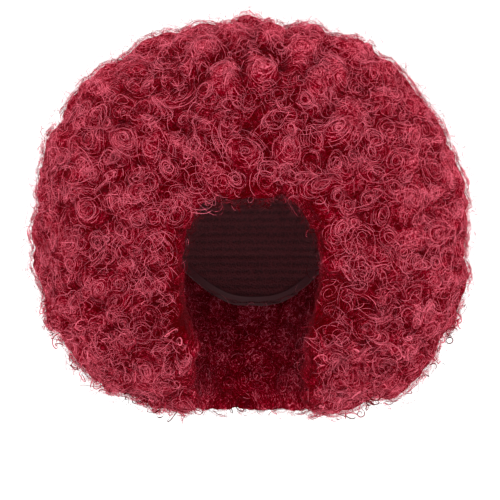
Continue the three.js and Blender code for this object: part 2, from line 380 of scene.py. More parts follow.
def owner_at(ways):
    """The number of the node that each way meets, or -1."""
    column = np.round(np.arctan2(ways[..., 1], ways[..., 0]) / (2 * math.pi) * MAP_COLUMNS).astype(int)
    row = np.floor((np.arcsin(np.clip(ways[..., 2], -1, 1)) / math.pi + 0.5) * MAP_ROWS).astype(int)
    return OWNER[np.clip(row, 0, MAP_ROWS - 1), column % MAP_COLUMNS]


class Anchors:
    """Places that curls stand on. The outer ones follow the map, and the others lie on the flat of a wall."""

    def __init__(self, points, normals, owners, outer):
        self.points, self.normals, self.owners, self.outer = points, normals, owners, outer
        self.first, self.second = tangents(normals)

    def picked(self, which):
        return part_of(self, ("points", "normals", "owners", "outer", "first", "second"), which)

    def turned(self, local):
        """Local directions (anchor, step, step, xyz), whose z stands out from the hair, as ones in space."""
        frames = [v[:, None, None] for v in (self.first, self.second, self.normals)]
        return sum(axis * local[..., i : i + 1] for i, axis in enumerate(frames))

    def placed(self, local):
        """Local points as ones in space."""
        across = local * np.array([1.0, 1.0, 0.0])
        flat = self.points[:, None, None] + self.turned(across)
        raised = flat + self.normals[:, None, None] * local[..., 2:3]
        ways = unit(flat - HEAD_MIDDLE)
        out = HEAD_MIDDLE + ways * (map_at(REACH, ways) + local[..., 2])[..., None]
        return np.where(self.outer[:, None, None, None], out, raised)


def combed(anchors, stray):
    """The same places with their first axis away from the face, give or take a stray angle."""
    way = np.array([0.0, 1.0, 0.0]) - anchors.normals * anchors.normals[:, 1:2]
    way = unit(way + 1e-6)
    side = np.cross(anchors.normals, way)
    angle = (rng.normal(size=len(way)) * stray)[:, None]
    anchors.first = way * np.cos(angle) + side * np.sin(angle)
    anchors.second = np.cross(anchors.normals, anchors.first)
    return anchors


def outer_anchors(count, spread):
    """Evenly strewn places over the outer hair."""
    step = np.arange(count) + 0.5
    height = 1 - 2 * step / count
    turn = step * GOLDEN_ANGLE
    across = np.sqrt(1 - height**2)
    ways = np.stack([across * np.cos(turn), across * np.sin(turn), height], axis=-1)
    ways = unit(ways + rng.normal(size=ways.shape) * spread)
    owners = owner_at(ways)
    kept = owners >= 0
    ways, owners = ways[kept], owners[kept]
    points = HEAD_MIDDLE + ways * map_at(REACH, ways)[:, None]
    normals = unit(map_at(NORMALS, ways))
    return Anchors(points, normals, owners, np.ones(len(points), dtype=bool))


def hairline_anchors(count):
    """Places along the hair's edge over the forehead, facing forwards and a little down."""
    bearing = np.radians(np.linspace(-HAIRLINE_ASIDE, HAIRLINE_ASIDE, count) + rng.normal(size=count))
    ups = np.radians(HAIRLINE_UPS)
    ways = np.stack([
        np.sin(bearing)[:, None] * np.cos(ups),
        -np.cos(bearing)[:, None] * np.cos(ups),
        np.broadcast_to(np.sin(ups), (count, len(ups))),
    ], axis=-1)
    lowest = (map_at(COVERED, ways) > 0.5).argmax(axis=1)
    ways = ways[np.arange(count), lowest]
    depth = rng.uniform(*HAIRLINE_DEPTHS, size=count) * MM
    points = HEAD_MIDDLE + ways * (map_at(REACH, ways) - depth)[:, None]
    normals = unit(HAIRLINE_FACING + rng.normal(size=(count, 3)) * HAIRLINE_STRAY)
    return Anchors(points, normals, owner_at(ways), np.zeros(count, dtype=bool))


def edge_rise(points, normals):
    """How far the hair on a wall stands into the face opening: most near the outer form, none deep inside."""
    out = points - HEAD_MIDDLE
    depth = map_at(SOFT_REACH, unit(out)) - np.linalg.norm(out, axis=-1)
    return EDGE_RISE * np.clip(1 - depth / EDGE_DEPTH, 0, 1) * np.abs(normals[..., 0])


def wall_anchors(spacing):
    """Places on the open walls of the hair round the face and the neck."""
    corners = hair.points[hair.corners]
    normals = np.cross(corners[:, 1] - corners[:, 0], corners[:, 2] - corners[:, 0])
    areas = np.linalg.norm(normals, axis=1) / 2
    normals = normals / np.maximum(2 * areas[:, None], 1e-12)
    count = int(areas.sum() / spacing**2)
    picked = rng.choice(len(areas), size=count, p=areas / areas.sum())
    shares = rng.dirichlet((1, 1, 1), size=count)
    points = (corners[picked] * shares[..., None]).sum(axis=1)
    normals = normals[picked]
    out = points - HEAD_MIDDLE
    deep = np.linalg.norm(out, axis=1) < map_at(SOFT_REACH, unit(out)) - WALL_START
    kept = []
    for index in np.nonzero(deep)[0]:
        start = points[index] + normals[index] * 0.2 * MM
        if everything.hit(start, normals[index], CLEAR_WAY) is None:
            kept.append(index)
    kept = np.array(kept)
    owners = hair.owners[picked[kept]]
    points, normals = points[kept], normals[kept]
    points = points + normals * edge_rise(points, normals)[:, None]
    return Anchors(points, normals, owners, np.zeros(len(kept), dtype=bool))


class Grids:
    """Many like ribbons, in arrays of (ribbon, step, edge)."""

    def __init__(self, owners, points, along, across, tone):
        shape = points.shape[:3]
        self.owners, self.points = owners, points
        self.along = np.broadcast_to(along, shape)
        self.across = np.broadcast_to(across, shape)
        out = points - HEAD_MIDDLE
        # Each strand's random tone takes on the painted light and shade of the lumps, clefts, face and jaw.
        self.tone = tone.reshape(-1, 1, 1) + map_at(PAINTED_LIGHT_AND_SHADE, unit(out))
        self.depth = map_at(REACH, unit(out)) - np.linalg.norm(out, axis=-1)

    def chosen(self, which):
        return part_of(self, ("owners", "points", "along", "across", "tone", "depth"), which)


def ribbons(anchors, local, local_normals, width, tone, roll):
    """Thin ribbons along local lines (ribbon, step, xyz), each rolled a little about its own line."""
    count, steps = local.shape[:2]
    points = anchors.placed(local[:, :, None])[:, :, 0]
    normals = unit(anchors.turned(local_normals[:, :, None])[:, :, 0])
    along = unit(np.gradient(points, axis=1))
    side = unit(np.cross(along, normals))
    facing = unit(np.cross(side, along))
    angle = (rng.normal(size=count) * roll)[:, None, None]
    side = side * np.cos(angle) + facing * np.sin(angle)
    share = np.linspace(0, 1, steps)
    taper = np.minimum(1, 6 * np.minimum(share, 1 - share) + 0.25)[None, :, None]
    half = np.broadcast_to(np.asarray(width), (count,))[:, None, None] / 2 * taper
    lengths = np.linalg.norm(np.diff(points, axis=1), axis=2)
    run = np.concatenate([np.zeros((count, 1)), np.cumsum(lengths, axis=1)], axis=1)
    edges = np.stack([points - side * half, points + side * half], axis=2)
    across = np.array([-0.5, 0.5]) * MM
    return Grids(anchors.owners, edges, run[:, :, None], across, tone)


def mesh_from_grids(name, groups):
    """One mesh of every grid in the groups, with its attributes for the hair material."""
    points, faces = [], []
    attributes = {"along": [], "across": [], "tone": [], "depth": []}
    start = 0
    for group in groups:
        count, rows, columns = group.points.shape[:3]
        if not count:
            continue
        points.append(group.points.reshape(-1, 3))
        base = start + np.arange(count)[:, None, None] * rows * columns
        base = base + np.arange(rows - 1)[:, None] * columns + np.arange(columns - 1)
        corners = [base, base + 1, base + columns + 1, base + columns]
        faces.append(np.stack(corners, axis=-1).reshape(-1, 4))
        start += count * rows * columns
        for key in attributes:
            attributes[key].append(np.asarray(getattr(group, key)).reshape(-1))
    points, faces = np.concatenate(points), np.concatenate(faces)
    mesh = bpy.data.meshes.new(name)
    mesh.vertices.add(len(points))
    mesh.vertices.foreach_set("co", points.astype(np.float32).reshape(-1))
    mesh.loops.add(faces.size)
    mesh.loops.foreach_set("vertex_index", faces.astype(np.int32).reshape(-1))
    mesh.polygons.add(len(faces))
    mesh.polygons.foreach_set("loop_start", np.arange(0, faces.size, 4, dtype=np.int32))
    mesh.polygons.foreach_set("use_smooth", np.ones(len(faces), dtype=bool))
    mesh.update(calc_edges=True)
    add_point_values(mesh, {key: np.concatenate(values) for key, values in attributes.items()})
    return placed_in_scene(name, mesh)


def tilted(local, angle, turn):
    """Local vectors leaned over by an angle towards a turn about the anchor's normal."""
    shape = (-1,) + (1,) * (local.ndim - 2)
    cos_turn, sin_turn = np.cos(turn).reshape(shape), np.sin(turn).reshape(shape)
    cos_lean, sin_lean = np.cos(angle).reshape(shape), np.sin(angle).reshape(shape)
    x = local[..., 0] * cos_turn + local[..., 1] * sin_turn
    y = -local[..., 0] * sin_turn + local[..., 1] * cos_turn
    leaned = x * cos_lean + local[..., 2] * sin_lean
    z = -x * sin_lean + local[..., 2] * cos_lean
    return np.stack([leaned * cos_turn - y * sin_turn, leaned * sin_turn + y * cos_turn, z], axis=-1)


# Strands of hair: their widths, how much lighter than the body they are, and how unlike one another
STRAND_WIDTH = 0.25 * MM
FRIZZ_WIDTH = 0.33 * MM
FUZZ_WIDTH = 0.3 * MM
RINGLET_WIDTH = 1.0 * MM
STRAND_LIFT = 0.16
# The fuzz's larger lift is painted light: it stands in for light through the thin loose hair at the outline.
FUZZ_LIFT = 0.28
HAIRLINE_LIFT = 0.1
RINGLET_LIFT = -0.1
TONE_SPREAD = 0.6


def tones(shade, count, lift):
    """How light each of some strands is."""
    return shade + lift + rng.normal(size=count) * TONE_SPREAD


def strands_of(anchors, local, normal, shade):
    """Strands of the common width, each a little wider or thinner and lighter or darker than the next."""
    width = STRAND_WIDTH * rng.uniform(0.7, 1.3, size=len(local))
    return ribbons(anchors, local, normal, width, tones(shade, len(local), STRAND_LIFT), 0.5)


class Curls:
    """Swirls of hair seen from their end or side: ellipses on the hair, each raised, with a dark middle."""

    def __init__(self, anchors, half_length, slimness, relief, hole):
        self.anchors = anchors
        self.count = len(anchors.points)
        self.long = rng.uniform(*half_length, size=self.count)
        self.short = self.long * rng.uniform(*slimness, size=self.count)
        self.relief = rng.uniform(*relief, size=self.count)
        self.hole = rng.uniform(*hole, size=self.count) ** 2
        self.shade = rng.normal(size=self.count) * 0.03
        self.spin = rng.choice((-1.0, 1.0), size=self.count)

    def picked(self, which):
        chosen = part_of(self, ("long", "short", "relief", "hole", "shade", "spin"), which)
        chosen.anchors = self.anchors.picked(which)
        chosen.count = len(which)
        return chosen

    def clear_of(self, points):
        """Which of some points lie outside every one of these curls."""
        away = points[:, None] - self.anchors.points
        x = (away * self.anchors.first).sum(axis=-1) / self.long
        y = (away * self.anchors.second).sum(axis=-1) / self.short
        z = (away * self.anchors.normals).sum(axis=-1) / self.long
        return np.sqrt(x**2 + y**2 + z**2).min(axis=1) > 1

    def height(self, share):
        return curl_height(share, self.relief[:, None], self.hole[:, None])

    def line(self, share, round_, lift):
        """Points and normals of lines over the curls, both (curl, step, xyz)."""
        x = self.long[:, None] * share * np.cos(round_)
        y = self.short[:, None] * share * np.sin(round_)
        z = self.height(share) + lift
        slope = -2 * CURL_FALL * share * self.relief[:, None] / self.short[:, None]
        local = np.stack([x, y, z], axis=-1)
        normal = np.stack([-slope * np.cos(round_), -slope * np.sin(round_), np.ones_like(slope)], axis=-1)
        return local, normal

    def rings(self, times, steps, length_range, lift_range, inmost=0.3):
        """Strands that wind part of the way round the curls, not quite in step with one another."""
        many = self.picked(np.repeat(np.arange(self.count), times))
        total = many.count
        share = np.linspace(-0.5, 0.5, steps)[None, :]
        start = rng.uniform(inmost, 1.25, size=(total, 1))
        spiral = np.maximum(start + rng.normal(size=(total, 1)) * 0.14 * share, 0.06)
        radius = start * np.sqrt(many.long * many.short)[:, None]
        turned = np.minimum(rng.uniform(*length_range, size=(total, 1)) / radius, 0.65 * 2 * math.pi)
        round_ = rng.uniform(0, 2 * math.pi, size=(total, 1)) + turned * share * many.spin[:, None]
        lift = rng.uniform(*lift_range, size=(total, 1)) + rng.normal(size=(total, 1)) * 1.5 * MM * share
        local, normal = many.line(spiral, round_, lift)
        local[..., :2] += rng.normal(size=(total, 1, 2)) * 0.1 * many.short[:, None, None]
        return strands_of(many.anchors, local, normal, many.shade)

    def arcs(self, times, steps, lift_range):
        """Strands that pass over the curls from side to side, bowed one way."""
        many = self.picked(np.repeat(np.arange(self.count), times))
        total = many.count
        share = np.linspace(-1, 1, steps)[None, :]
        place = rng.uniform(-0.85, 0.85, size=(total, 1))
        bow = np.repeat(rng.uniform(-0.6, 0.6, size=(self.count, 1)), times, axis=0)
        reach = np.sqrt(1.1 - place**2) * rng.uniform(0.7, 1.0, size=(total, 1))
        across = place + bow * (1 - share**2) + rng.normal(size=(total, 1)) * 0.06 * share
        y_share = reach * share
        spread = np.hypot(across, y_share)
        lift = rng.uniform(*lift_range, size=(total, 1))
        x = many.long[:, None] * across
        y = many.short[:, None] * y_share
        local = np.stack([x, y, many.height(spread) + lift], axis=-1)
        slope = 2 * CURL_FALL * many.relief[:, None] / many.short[:, None]
        normal = np.stack([slope * across, slope * y_share, np.ones_like(x)], axis=-1)
        return strands_of(many.anchors, local, normal, many.shade)


def waves(anchors, strands, steps, length_range, breadth_range, lift_range):
    """Brushed-out locks that snake over the curls, their strands side by side."""
    count = len(anchors.points)
    length = rng.uniform(*length_range, size=count)
    breadth = rng.uniform(*breadth_range, size=count)
    sweep = rng.uniform(1.5, 4.5, size=count) * MM
    turns = rng.uniform(0.6, 1.5, size=count)
    phase = rng.uniform(0, 2 * math.pi, size=count)
    shade = rng.normal(size=count) * 0.05
    length, breadth, sweep, turns, phase, shade = (
        np.repeat(v, strands)[:, None] for v in (length, breadth, sweep, turns, phase, shade)
    )
    total = count * strands
    low = rng.uniform(-0.6, 0.1, size=(total, 1))
    share = low + np.linspace(0, 1, steps)[None, :] * rng.uniform(0.4, 0.7, size=(total, 1))
    place = rng.uniform(-0.5, 0.5, size=(total, 1)) + share * rng.normal(size=(total, 1)) * 0.15
    sway = 2 * math.pi * turns * share + phase
    x = share * length
    y = place * breadth * (1 - 1.2 * share**2) + sweep * np.sin(sway)
    z = (0.8 - 8 * share**2) * MM + 1.1 * MM * np.cos(sway) + rng.uniform(*lift_range, size=(total, 1))
    local = np.stack([x, y, z], axis=-1)
    normal = np.stack([28 * MM * share / length, 16 * MM * place / breadth, np.ones_like(z)], axis=-1)
    return strands_of(anchors.picked(np.repeat(np.arange(count), strands)), local, normal, shade[:, 0])


def frizz(anchors, steps, radius_range, turn_range, rise_range, width, lift=STRAND_LIFT):
    """Single thin loops that stand loose of the curls."""
    count = len(anchors.points)
    radius = rng.uniform(*radius_range, size=count)[:, None]
    wind = rng.uniform(*turn_range, size=count)[:, None]
    share = np.linspace(0, 1, steps)[None, :]
    round_ = rng.uniform(0, 2 * math.pi, size=count)[:, None] + wind * 2 * math.pi * share
    drift = rng.normal(size=(count, 2)) * 6 * MM
    radius = radius * (1 - 0.4 * share)
    x = radius * np.cos(round_) + drift[:, :1] * (share - 0.5)
    y = radius * np.sin(round_) + drift[:, 1:] * (share - 0.5)
    z = np.zeros_like(x)
    local = np.stack([x, y, z], axis=-1)
    normal = np.stack([z, z, z + 1], axis=-1)
    angle = np.arccos(rng.uniform(0.3, 1, size=count))
    turn = rng.uniform(0, 2 * math.pi, size=count)
    local, normal = tilted(local, angle, turn), tilted(normal, angle, turn)
    rise = rng.uniform(*rise_range, size=count)[:, None]
    local[..., 2] = local[..., 2] + rise - 2 * MM * (2 * share - 1) ** 2
    return ribbons(anchors, local, normal, width, tones(0.0, count, lift), 0.8)


def linear(red, green, blue):
    """An sRGB colour in 0 to 255 as linear light."""
    shares = (red / 255, green / 255, blue / 255)
    return tuple(((v + 0.055) / 1.055) ** 2.4 if v > 10 / 255 else v / 12.92 for v in shares)


# The hair's colours, from the deepest clefts to the lightest strands, and those of the cap
# The lightest stop serves both lighter strands and, with no shine in the shaders, painted highlights.
HAIR_STOPS = [
    (0.0, linear(70, 0, 2)),
    (0.26, linear(92, 0, 8)),
    (0.5, linear(119, 0, 22)),
    (0.74, linear(149, 21, 42)),
    (1.0, linear(204, 94, 112)),
]
KNIT_STOPS = [(0.0, linear(40, 10, 16)), (1.0, linear(96, 34, 42))]
HEM_COLOUR = linear(66, 17, 26)
SHEEN_TINT = (1.0, 0.2, 0.28, 1)

# Soft patches of lighter and darker hair, some 3 cm across
PATCH_SCALE = 34
PATCH_CONTRAST = 0.36

# Painted shade and light: how much a metre of depth darkens a strand, and a metre of height lightens the body
# of the hair, so that hair that goes under is darker and hair that stands out lighter
PAINTED_DEPTH_SHADE = 90.0
PAINTED_HEIGHT_SHADE = 70.0

# How far the noise moves on from one tone to the next, so that no two strands are alike
TONE_STEP = 391.0


def new_material(name):
    """A material with one shader, its node tree and that shader."""
    material = bpy.data.materials.new(name)
    material.use_nodes = True
    tree = material.node_tree
    tree.nodes.clear()
    output = tree.nodes.new("ShaderNodeOutputMaterial")
    shader = tree.nodes.new("ShaderNodeBsdfPrincipled")
    tree.links.new(shader.outputs["BSDF"], output.inputs["Surface"])
    return material, tree, shader


def attribute(tree, name):
    node = tree.nodes.new("ShaderNodeAttribute")
    node.attribute_name = name
    return node.outputs["Fac"]


def object_place(tree):
    return tree.nodes.new("ShaderNodeTexCoord").outputs["Object"]


def maths(tree, operation, first, second=0.0, third=0.0, clamp=False):
    node = tree.nodes.new("ShaderNodeMath")
    node.operation = operation
    node.use_clamp = clamp
    for socket, value in zip(node.inputs, (first, second, third)):
        if isinstance(value, (int, float)):
            socket.default_value = value
        else:
            tree.links.new(value, socket)
    return node.outputs[0]


def swing(tree, value, amount):
    """A value of 0 to 1 made to swing about 0, by that amount in all."""
    return maths(tree, "MULTIPLY_ADD", value, amount, -amount / 2)


def within(tree, value, low, high):
    return maths(tree, "MINIMUM", maths(tree, "MAXIMUM", value, low), high)


def ramp(tree, factor, stops):
    node = tree.nodes.new("ShaderNodeValToRGB")
    elements = node.color_ramp.elements
    while len(elements) < len(stops):
        elements.new(0.5)
    for element, (place, colour) in zip(elements, stops):
        element.position = place
        element.color = (*colour, 1)
    tree.links.new(factor, node.inputs["Fac"])
    return node.outputs["Color"]


def noise_node(tree, place, scale, detail, roughness=0.5):
    node = tree.nodes.new("ShaderNodeTexNoise")
    node.inputs["Scale"].default_value = scale
    node.inputs["Detail"].default_value = detail
    node.inputs["Roughness"].default_value = roughness
    tree.links.new(place, node.inputs["Vector"])
    return node


def bumped(tree, shader, height, strength, distance):
    bump = tree.nodes.new("ShaderNodeBump")
    bump.inputs["Strength"].default_value = strength
    bump.inputs["Distance"].default_value = distance
    tree.links.new(height, bump.inputs["Height"])
    tree.links.new(bump.outputs["Normal"], shader.inputs["Normal"])


def coloured_hair(tree, shader, base, streaks, tone, dark, roughness, sheen):
    """Sets a hair shader's colour from its shade: no shine, but pink painted highlights and a soft sheen."""
    patches = swing(tree, noise_node(tree, object_place(tree), PATCH_SCALE, 1).outputs["Fac"], PATCH_CONTRAST)
    shade = maths(tree, "ADD", maths(tree, "ADD", base, streaks), maths(tree, "ADD", tone, patches))
    shade = maths(tree, "SUBTRACT", shade, dark, clamp=True)
    tree.links.new(ramp(tree, shade, HAIR_STOPS), shader.inputs["Base Color"])
    shader.inputs["Roughness"].default_value = roughness
    shader.inputs["Specular IOR Level"].default_value = 0.0
    shader.inputs["Sheen Weight"].default_value = sheen
    shader.inputs["Sheen Roughness"].default_value = 0.4
    shader.inputs["Sheen Tint"].default_value = SHEEN_TINT


def hair_material():
    """Fibres along each strand, with painted light where it stands out and painted shade where it goes under.
    """
    material, tree, shader = new_material("curly_hair")
    along, across = attribute(tree, "along"), attribute(tree, "across")
    tone, depth = attribute(tree, "tone"), attribute(tree, "depth")

    def lines(across_scale, along_scale):
        place = tree.nodes.new("ShaderNodeCombineXYZ")
        tree.links.new(maths(tree, "MULTIPLY", across, across_scale), place.inputs["X"])
        tree.links.new(maths(tree, "MULTIPLY", along, along_scale), place.inputs["Y"])
        tree.links.new(maths(tree, "MULTIPLY", tone, TONE_STEP), place.inputs["Z"])
        return noise_node(tree, place.outputs["Vector"], 1.0, 1.0, 0.6).outputs["Fac"]

    fine, broad = lines(1150.0, 330.0), lines(330.0, 90.0)
    streaks = maths(tree, "ADD", swing(tree, fine, 2.1), swing(tree, broad, 0.7))
    # Painted shade: a strand is darker where it lies deep in the hair, lighter where it stands out.
    dark = within(tree, maths(tree, "MULTIPLY", depth, PAINTED_DEPTH_SHADE), -0.25, 0.6)
    coloured_hair(tree, shader, 0.5, streaks, tone, dark, 0.5, 0.2)
    return material


def mass_material():
    """Fine fibres that wind round each curl, with painted shade between the curls and in their middles."""
    material, tree, shader = new_material("hair_body")
    ring, high, tone = attribute(tree, "ring"), attribute(tree, "high"), attribute(tree, "tone")
    coordinate = object_place(tree)

    def lines(ring_scale, place_scale, detail):
        place = tree.nodes.new("ShaderNodeVectorMath")
        place.operation = "SCALE"
        place.inputs["Scale"].default_value = place_scale
        tree.links.new(coordinate, place.inputs[0])
        noise = noise_node(tree, place.outputs["Vector"], 1.0, detail)
        noise.noise_dimensions = "4D"
        tree.links.new(maths(tree, "MULTIPLY", ring, ring_scale), noise.inputs["W"])
        return noise.outputs["Fac"]

    def fibres(noise, sharpness):
        """Thin light lines along the noise's middle level, 0 to 1."""
        away = maths(tree, "ABSOLUTE", maths(tree, "SUBTRACT", noise, 0.5))
        return maths(tree, "MULTIPLY_ADD", away, -sharpness, 1.0, clamp=True)

    fine, broad = fibres(lines(760.0, 170.0, 1.0), 13.0), fibres(lines(480.0, 110.0, 1.0), 15.0)
    felt = lines(0.0, 1300.0, 2.0)
    streaks = maths(tree, "MULTIPLY_ADD", fine, 0.5, -0.16)
    streaks = maths(tree, "ADD", streaks, maths(tree, "MULTIPLY_ADD", broad, 0.4, -0.12))
    streaks = maths(tree, "ADD", streaks, swing(tree, felt, 1.9))
    # Painted shade: the body is darker where it lies low, lighter where it stands high.
    dark = within(tree, maths(tree, "MULTIPLY", high, -PAINTED_HEIGHT_SHADE), -0.08, 0.3)
    coloured_hair(tree, shader, 0.33, streaks, tone, dark, 0.6, 0.08)
    bumped(tree, shader, maths(tree, "ADD", fine, felt), 0.9, 0.7 * MM)
    return material


def cap_material():
    """Knit: level rows of small cells."""
    material, tree, shader = new_material("cap_knit")
    place = object_place(tree)
    wave = tree.nodes.new("ShaderNodeTexWave")
    wave.bands_direction = "Z"
    wave.inputs["Scale"].default_value = 44
    wave.inputs["Distortion"].default_value = 0.6
    tree.links.new(place, wave.inputs["Vector"])
    cells = tree.nodes.new("ShaderNodeTexVoronoi")
    cells.inputs["Scale"].default_value = 520
    tree.links.new(place, cells.inputs["Vector"])
    height = maths(tree, "MULTIPLY_ADD", wave.outputs["Fac"], 0.5, cells.outputs["Distance"])
    tree.links.new(ramp(tree, height, KNIT_STOPS), shader.inputs["Base Color"])
    bumped(tree, shader, height, 0.8, 0.8 * MM)
    shader.inputs["Roughness"].default_value = 0.85
    return material


def plain_material(name, colour, roughness):
    material, _, shader = new_material(name)
    shader.inputs["Base Color"].default_value = (*colour, 1)
    shader.inputs["Roughness"].default_value = roughness
    return material


CURLY_HAIR = hair_material()
HAIR_BODY = mass_material()
CAP_KNIT = cap_material()
CAP_HEM = plain_material("cap_hem", HEM_COLOUR, 0.7)

# The curls' sizes. slimness is breadth by length, and hole the square root of the middle's depth in metres.
BIG = {"half_length": mm(16, 22), "slimness": (0.5, 0.85), "relief": mm(2, 4), "hole": (0.02, 0.04)}
ROUND = {"half_length": mm(8, 17), "slimness": (0.65, 1.0), "relief": mm(0.8, 2.2), "hole": (0.02, 0.05)}
SLIM = {"half_length": mm(12, 24), "slimness": (0.3, 0.5), "relief": mm(0.8, 2.2), "hole": (0, 0.02)}

# The curls' places: big ones here and there, round and slim ones between them, and more on the open walls
spots = outer_anchors(1700, 0.02)
walls = wall_anchors(11 * MM)
big_curls = Curls(combed(outer_anchors(90, 0.08), 0.5), **BIG)
spots = spots.picked(big_curls.clear_of(spots.points))
kinds = rng.uniform(size=len(spots.points))
round_curls = Curls(combed(spots.picked(kinds < 0.5), 0.9), **ROUND)
slim_curls = Curls(combed(spots.picked(kinds >= 0.5), 0.4), **SLIM)
wall_curls = Curls(walls, **ROUND)
every_curl = (big_curls, round_curls, slim_curls, wall_curls)


class CurlField:
    """The curls' forms as one surface: what any point of the hair's body takes from the nearest curl."""

    def __init__(self, groups):
        self.points = np.concatenate([g.anchors.points for g in groups])
        self.axes = []
        for key in ("first", "second", "normals"):
            self.axes.append(np.concatenate([getattr(g.anchors, key) for g in groups]))
        for key in ("long", "short", "relief", "hole", "shade"):
            setattr(self, key, np.concatenate([getattr(g, key) for g in groups]))
        self.tree = KDTree(len(self.points))
        for index, point in enumerate(self.points):
            self.tree.insert(Vector(point), index)
        self.tree.balance()

    def at(self, points, neighbours=9):
        near = np.array([[index for _, index, _ in self.tree.find_n(Vector(p), neighbours)] for p in points])
        away = points[:, None] - self.points[near]
        x, y, z = ((away * axis[near]).sum(axis=-1) for axis in self.axes)
        share = np.sqrt((x / self.long[near]) ** 2 + (y / self.short[near]) ** 2 + (z / FIELD_THICKNESS) ** 2)
        best = share.argmin(axis=1)
        rows = np.arange(len(points))
        share, near = share[rows, best], near[rows, best]
        height = curl_height(share, self.relief[near], self.hole[near])
        return height, share * self.short[near], self.shade[near]


FIELD = CurlField(every_curl)


def grown_copy(name):
    """A section of the solid hair with an even mesh, grown so that it laps its neighbours."""
    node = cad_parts[name]
    mesh = node.data.copy()
    mesh.transform(node.matrix_world)
    piece = placed_in_scene(name + "_body", mesh)
    grown = piece.modifiers.new("grown", "DISPLACE")
    grown.mid_level = 0
    grown.strength = SEAM_LAP
    remesh = piece.modifiers.new("even", "REMESH")
    remesh.mode = "VOXEL"
    remesh.voxel_size = MASS_VOXEL
    evaluated = piece.evaluated_get(bpy.context.evaluated_depsgraph_get())
    even = bpy.data.meshes.new_from_object(evaluated)
    even.name = name + "_body"
    piece.modifiers.clear()
    piece.data = even
    return piece


def refine_open_faces(mesh):
    """Divides the faces that lie in the open once more."""
    open_, _ = open_vertices(mesh)
    finer = bmesh.new()
    finer.from_mesh(mesh)
    finer.verts.ensure_lookup_table()
    edges = [e for e in finer.edges if open_[e.verts[0].index] and open_[e.verts[1].index]]
    bmesh.ops.subdivide_edges(finer, edges=edges, cuts=1, use_grid_fill=True)
    finer.to_mesh(mesh)
    finer.free()


def body_of_hair(name):
    """The body of a section of hair, in the form that its curls give it."""
    piece = grown_copy(name)
    mesh = piece.data
    refine_open_faces(mesh)
    open_, outer = open_vertices(mesh)
    points, normals = vertex_arrays(mesh)
    height, ring, tone = np.zeros(len(points)), np.zeros(len(points)), np.zeros(len(points))
    height[open_], ring[open_], tone[open_] = FIELD.at(points[open_])
    ways = unit(points - HEAD_MIDDLE)
    # The body's random tone takes on the same painted light and shade.
    tone = tone + map_at(PAINTED_LIGHT_AND_SHADE, ways)
    beyond_seam = np.where(owner_at(ways) == HAIR_NODES.index(name), 0, LAP_SINK)
    raised = HEAD_MIDDLE + ways * (map_at(REACH, ways) + height - MASS_SINK - beyond_seam)[:, None]
    off_wall = points + normals * (height - WALL_SINK - SEAM_LAP + edge_rise(points, normals))[:, None]
    points = np.where(outer[:, None], raised, np.where(open_[:, None], off_wall, points))
    mesh.vertices.foreach_set("co", points.astype(np.float32).reshape(-1))
    mesh.polygons.foreach_set("use_smooth", np.ones(len(mesh.polygons), dtype=bool))
    add_point_values(mesh, {"ring": ring, "high": height, "tone": tone})
    mesh.update()
    mesh.materials.clear()
    mesh.materials.append(HAIR_BODY)
    return piece


def vertex_arrays(mesh):
    points, normals = np.empty(len(mesh.vertices) * 3), np.empty(len(mesh.vertices) * 3)
    mesh.vertices.foreach_get("co", points)
    mesh.vertices.foreach_get("normal", normals)
    return points.reshape(-1, 3), normals.reshape(-1, 3)


def open_vertices(mesh):
    """Which vertices lie in the open, and which of those on the hair's outer form."""
    points, normals = vertex_arrays(mesh)
    out = points - HEAD_MIDDLE
    ways = unit(out)
    outer = map_at(SOFT_REACH, ways) - np.linalg.norm(out, axis=1) < OUTER_SKIN
    outer &= (normals * ways).sum(axis=1) > 0.1
    open_ = outer.copy()
    for index in np.nonzero(~outer)[0]:
        start = points[index] + normals[index] * 3 * MM
        open_[index] = everything.hit(start, normals[index], CLEAR_WAY) is None
    return open_, outer


for hair_node in HAIR_NODES:
    mass = body_of_hair(hair_node)
    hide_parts(hair_node)
    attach(mass, "root")


def well_inside(anchors, distance):
    """The anchors that have hair all round them out to a distance along the surface."""
    kept = np.ones(len(anchors.points), dtype=bool)
    for side in (-1, 1):
        for axis in (anchors.first, anchors.second):
            ways = unit(anchors.points + side * distance * axis - HEAD_MIDDLE)
            kept &= map_at(COVERED, ways) > 0.99
    return anchors.picked(kept)


# The strands over the curls, the locks brushed out over them, and the loose frizz, fuzz and ringlets
above = mm(0, 1.8)
lock_places = combed(well_inside(outer_anchors(400, 0.03), 28 * MM), 0.35)
arc_places = well_inside(outer_anchors(2200, 0.02), 8 * MM)
fuzz_places = outer_anchors(8000, 0.02)
low_places = outer_anchors(5000, 0.03)
low_ways = unit(low_places.points - HEAD_MIDDLE)
low_places = low_places.picked((low_ways[:, 2] < -0.35) & (rng.uniform(size=len(low_ways)) < 0.3))
curl_groups = [
    big_curls.rings(64, 8, mm(12, 32), above, 0.06),
    round_curls.rings(30, 7, mm(10, 30), above),
    slim_curls.arcs(18, 6, above),
    slim_curls.rings(8, 7, mm(10, 30), above),
    wall_curls.rings(9, 7, mm(8, 24), above),
    waves(lock_places, 9, 8, mm(30, 50), mm(8, 16), above),
]
frizz_groups = [
    frizz(arc_places, 7, mm(3, 9), (0.2, 0.6), mm(-1, 1), FRIZZ_WIDTH),
    frizz(fuzz_places, 6, mm(1.5, 4.5), (0.3, 0.7), mm(0, 9.5), FUZZ_WIDTH, FUZZ_LIFT),
    frizz(wall_anchors(7 * MM), 7, mm(2, 7), (0.3, 0.7), mm(0, 3), FRIZZ_WIDTH),
    frizz(hairline_anchors(260), 12, mm(2, 5.5), (0.5, 1.2), mm(1, 8), FRIZZ_WIDTH, HAIRLINE_LIFT),
    frizz(low_places, 14, mm(3, 5.5), (0.8, 1.4), mm(1, 7), RINGLET_WIDTH, RINGLET_LIFT),
]

